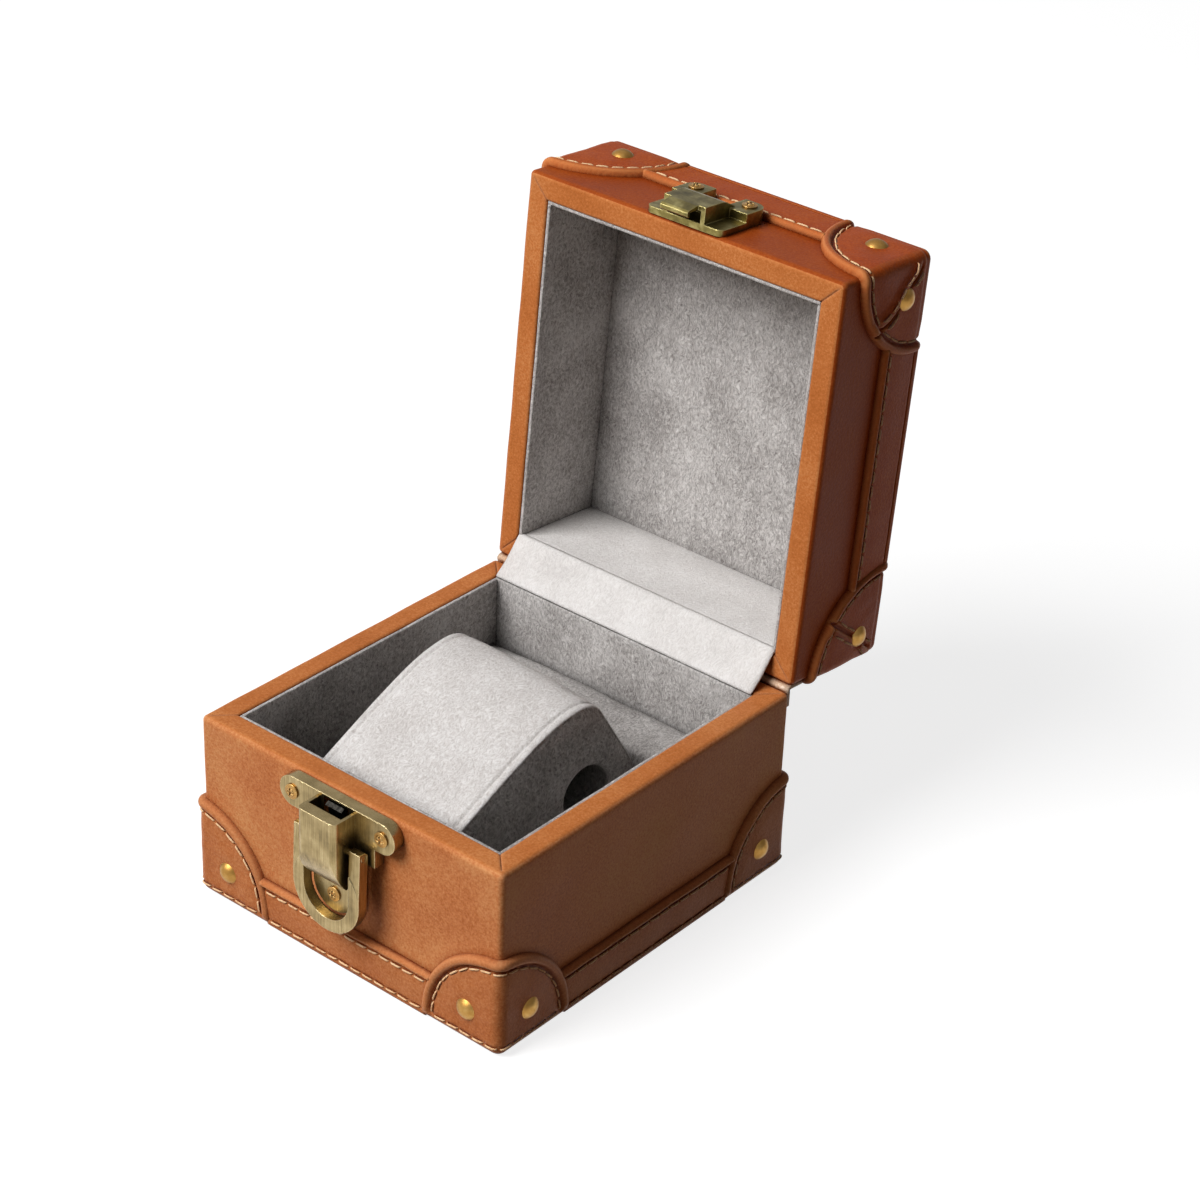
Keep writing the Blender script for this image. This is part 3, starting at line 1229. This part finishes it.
low, high = on_tray("rear_rest_pad", "base")
points, faces = rounded_block(low, high, PAD_R, 2.0, swell=0.9, seed=31, rough=0.25)
rest = make("rear_rest_pad_suede", in_base(points), faces, SUEDE, "base", ["rear_rest_pad"])

# %% [markdown]
# ## The watch cushion
#
# The cushion is foam cut to the side view, with a band of suede sewn round it and a panel on
# each side. The side view is a few corners, read from the photograph, that are rounded by
# cutting them off four times. The outline is then divided evenly, and the direction outward
# is found at each of its points.

# %% The cushion's side view
CUSHION_W, CUSHION_L, CUSHION_H = 50.0, 74.0, 56.3
CUSHION_FRONT, CUSHION_FOOT = -46.0, 6.8
AROUND = 200                           # points round the side view
# as parts of the length and the height, from the front of the underside
SIDE_VIEW = [
    (0.08, 0), (0, 0), (-0.01, 0.3), (0.01, 0.6), (0.16, 0.71), (0.365, 0.858), (0.568, 0.982),
    (0.757, 1.007), (0.838, 0.835), (0.919, 0.666), (0.985, 0.52), (1, 0.29), (1, 0), (0.92, 0),
]


def cut_corners(p):
    """Rounds a closed outline a little: each corner is replaced by two points beside it."""
    following = np.roll(p, -1, axis=0)
    return np.stack([0.75 * p + 0.25 * following, 0.25 * p + 0.75 * following], axis=1).reshape(-1, 2)


outline = np.array(SIDE_VIEW)
for _ in range(4):
    outline = cut_corners(outline)
outline[:, 1] = np.maximum(outline[:, 1], 0)
outline = outline * (CUSHION_L, CUSHION_H) + (CUSHION_FRONT, 0)
steps = np.linalg.norm(np.roll(outline, -1, axis=0) - outline, axis=1)
walk = np.concatenate([[0], np.cumsum(steps)])
closed = np.vstack([outline, outline[:1]])
at = np.linspace(0, walk[-1], AROUND, endpoint=False)
outline = np.column_stack([np.interp(at, walk, closed[:, i]) for i in range(2)])
tangent = np.roll(outline, -1, axis=0) - np.roll(outline, 1, axis=0)
tangent /= np.linalg.norm(tangent, axis=1)[:, None]
outward = np.column_stack([-tangent[:, 1], tangent[:, 0]])
if np.sum(outward * (outline - outline.mean(axis=0))) < 0:
    outward = -outward
off_floor = smooth_step(outline[:, 1], 0.3, 6)
print("the cushion's side view is", round(walk[-1]), "mm round")

# %% [markdown]
# ### The band
#
# The band swells in the middle of its width, and near each side its seam is a narrow valley
# with the turned-in edge as a small lip beside it. The side view is repeated across the width
# with that height, closer together near the seams. The ripples fade out towards the edge.

# %% The band
HALF = CUSHION_W / 2
CROWN, LIP = 0.75, 0.45                # how far the band swells, and the lip's height
SEAM_IN, SEAM_DEEP = 2.3, 0.55         # the band's seam, in from the edge
columns_x = np.concatenate([np.linspace(0, HALF - 4, 12), np.linspace(HALF - 3.7, HALF, 16)])
columns_x = np.concatenate([-columns_x[:0:-1], columns_x])
rings = []
for x in columns_x:
    to_edge = HALF - abs(x)
    height = CROWN * (1 - (x / HALF) ** 2) - SEAM_DEEP * dip(to_edge, SEAM_IN, 0.45)
    height += roll(min(to_edge, 1.0), 2.0, LIP, 2) - LIP
    soft = np.array([0.3 * noise.noise(Vector((x / 13, y / 13, z / 13))) for y, z in outline])
    soft += np.array([0.13 * noise.noise(Vector((x / 4, y / 4, z / 4 + 9))) for y, z in outline])
    lift = (height + soft * smooth_step(to_edge, 1, 6)) * off_floor
    rings.append(np.column_stack([np.full(AROUND, x), outline + outward * lift[:, None]]))
print("the band has", len(rings), "columns")

# %% [markdown]
# ### The side panels and the finger hole
#
# Each panel runs in rings from the band's edge to the finger hole. It puffs out between its
# two seams and is drawn in at both. The hole goes right through the cushion.

# %% The side panels
HOLE_R, HOLE_Y, HOLE_Z = 8.0, 8.5, 28.3
PANEL_IN = 0.55                        # the side panels start that far inside the lip
HOLE_IN = 1.6                          # the hole's wall starts that far from each side
bearing = np.arctan2(outline[:, 1] - HOLE_Z, outline[:, 0] - HOLE_Y)
hole = np.column_stack([HOLE_Y + HOLE_R * np.cos(bearing), HOLE_Z + HOLE_R * np.sin(bearing)])


def side_rings(side):
    """Rings from the band's edge over a side panel and into the finger hole."""
    made = []
    for t in np.concatenate([[0.02, 0.04, 0.07], np.linspace(0.1, 0.97, 22), [0.99, 1.0]]):
        yz = (outline - outward * (PANEL_IN * off_floor)[:, None]) * (1 - t) + hole * t
        puff = 0.85 * (1 - abs(2 * t - 1) ** 2.2)
        puff = puff - 0.5 * math.exp(-t / 0.02) - 0.9 * math.exp(-(1 - t) / 0.05)
        soft = np.array([0.3 * noise.noise(Vector((side * 3, y / 12, z / 12))) for y, z in yz])
        x = side * (HALF + puff + soft * (1 - abs(2 * t - 1)))
        made.append(np.column_stack([x, yz]))
    return made


depths = np.linspace(HALF - HOLE_IN, -HALF + HOLE_IN, 14)
through = [np.column_stack([np.full(AROUND, x), hole]) for x in depths]
rings = rings + side_rings(1) + through + side_rings(-1)[::-1]
print("with panels and hole:", len(rings), "rings")

# %% [markdown]
# ### The whole cushion
#
# It is loose in the well and sits turned by a few degrees. Its side panels stand in shade in
# the photograph and are greyer than the band, so they get the linings' suede. The piece is
# declared padded, because real stuffing fills most of it.

# %% The cushion
CUSHION_TURN = math.radians(-3.7)
points = np.vstack(rings)
c, s = math.cos(CUSHION_TURN), math.sin(CUSHION_TURN)
turned_x = points[:, 0] * c - points[:, 1] * s
turned_y = points[:, 0] * s + points[:, 1] * c
points = np.column_stack([turned_x, turned_y, np.maximum(points[:, 2], 0) + CUSHION_FOOT])
faces = grid(len(rings), AROUND, around=True)
last = (len(rings) - 1) * AROUND
faces += [(last + j, last + (j + 1) % AROUND, (j + 1) % AROUND, j) for j in range(AROUND)]
on_side = [int(k >= (len(columns_x) - 1) * AROUND) for k in range(len(faces))]
cushion = make("watch_cushion_suede", points, faces, CUSHION, "cushion", ["cushion_pad"],
               second=(SUEDE, on_side))
print("cushion:", [round(v) for v in (points.max(axis=0) - points.min(axis=0))], "mm")

# %% [markdown]
# ## The hinge
#
# A strip of leather is glued to both halves along the back and folds as the lid turns. Only
# its fold is creased pale. Inside, a strip of suede closes the gap between the two linings.
# Both ends of a strip follow their own half of the box and the middle bends, so they blend
# between the bodies.


# %% Strips that bend
def ribbon(name, line, thickness, half_width, finish, node, wave, columns=60, fold=None):
    """A strip along X whose side view is a line of (y, z) points, with a thickness outward.

    fold is a second finish and the points of the line between which it shows."""
    line = np.asarray(line, float)
    ahead = np.gradient(line, axis=0)
    ahead /= np.linalg.norm(ahead, axis=1)[:, None]
    out = np.column_stack([-ahead[:, 1], ahead[:, 0]])
    section = np.vstack([line, (line + thickness * out)[::-1]])
    both = np.vstack([out, out[::-1]])
    n = len(line)
    free = np.sin(np.linspace(0, math.pi, n))
    points = []
    for x in np.linspace(-half_width, half_width, columns):
        shift = wave * free * noise.noise(Vector((x / 14, 3.3, 0)))
        shift = np.concatenate([shift, shift[::-1]])
        points += [(x, *p) for p in section + both * shift[:, None]]
    faces = grid(columns, 2 * n, around=True)
    second = None
    if fold:
        creased, first, last = fold
        second = (creased, [int(first <= i % (2 * n) < last) for i in range(len(faces))] + [1, 1])
    faces += [tuple(range(2 * n)), tuple(range((columns - 1) * 2 * n, columns * 2 * n))]
    return make(name, points, faces, finish, None, [node], second)


# the leather's inner side from the lid's leaf, round the fold, to the base's leaf
HINGE_LINE = [
    (63.5, 56.0), (61.8, 56.15), (60.2, 56.3), (58.7, 56.45), (57.8, 56.35), (57.1, 56.05),
    (56.75, 55.55), (56.75, 55.0), (57.0, 54.3), (57.0, 53.2), (57.0, 51.7), (57.0, 50.2),
]
HINGE_T, HINGE_HALF = 1.15, 51.7       # the leather's thickness and half its width
hinge = ribbon("hinge_leather_fold", HINGE_LINE, HINGE_T, HINGE_HALF, BASE_TAN,
               "hinge_leather", wave=0.3, fold=(CREASED, 3, 9))
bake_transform(hinge)

# %% [markdown]
# ### The gusset
#
# The gusset is a flat strip of suede, glued down along both hems and held stretched between
# them. Its flat length is measured along the line, so it stays true if the line is changed.

# %% The gusset
# the suede from the lid's rear lining down to the rim behind the base's rear lining
GUSSET_LINE = [
    (59.8, 64.7), (58.7, 64.65), (57.9, 64.0), (56.5, 62.3), (54.9, 60.5), (53.1, 58.5), (51.3, 57.0),
    (50.3, 56.15), (49.6, 55.6), (49.25, 54.95),
]
GUSSET_T, GUSSET_HALF = 0.6, 45.3      # the suede's thickness and half its width
gusset = ribbon("hinge_gusset_suede", GUSSET_LINE, GUSSET_T, GUSSET_HALF, GUSSET,
                "hinge_gusset", wave=0.35)
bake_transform(gusset)
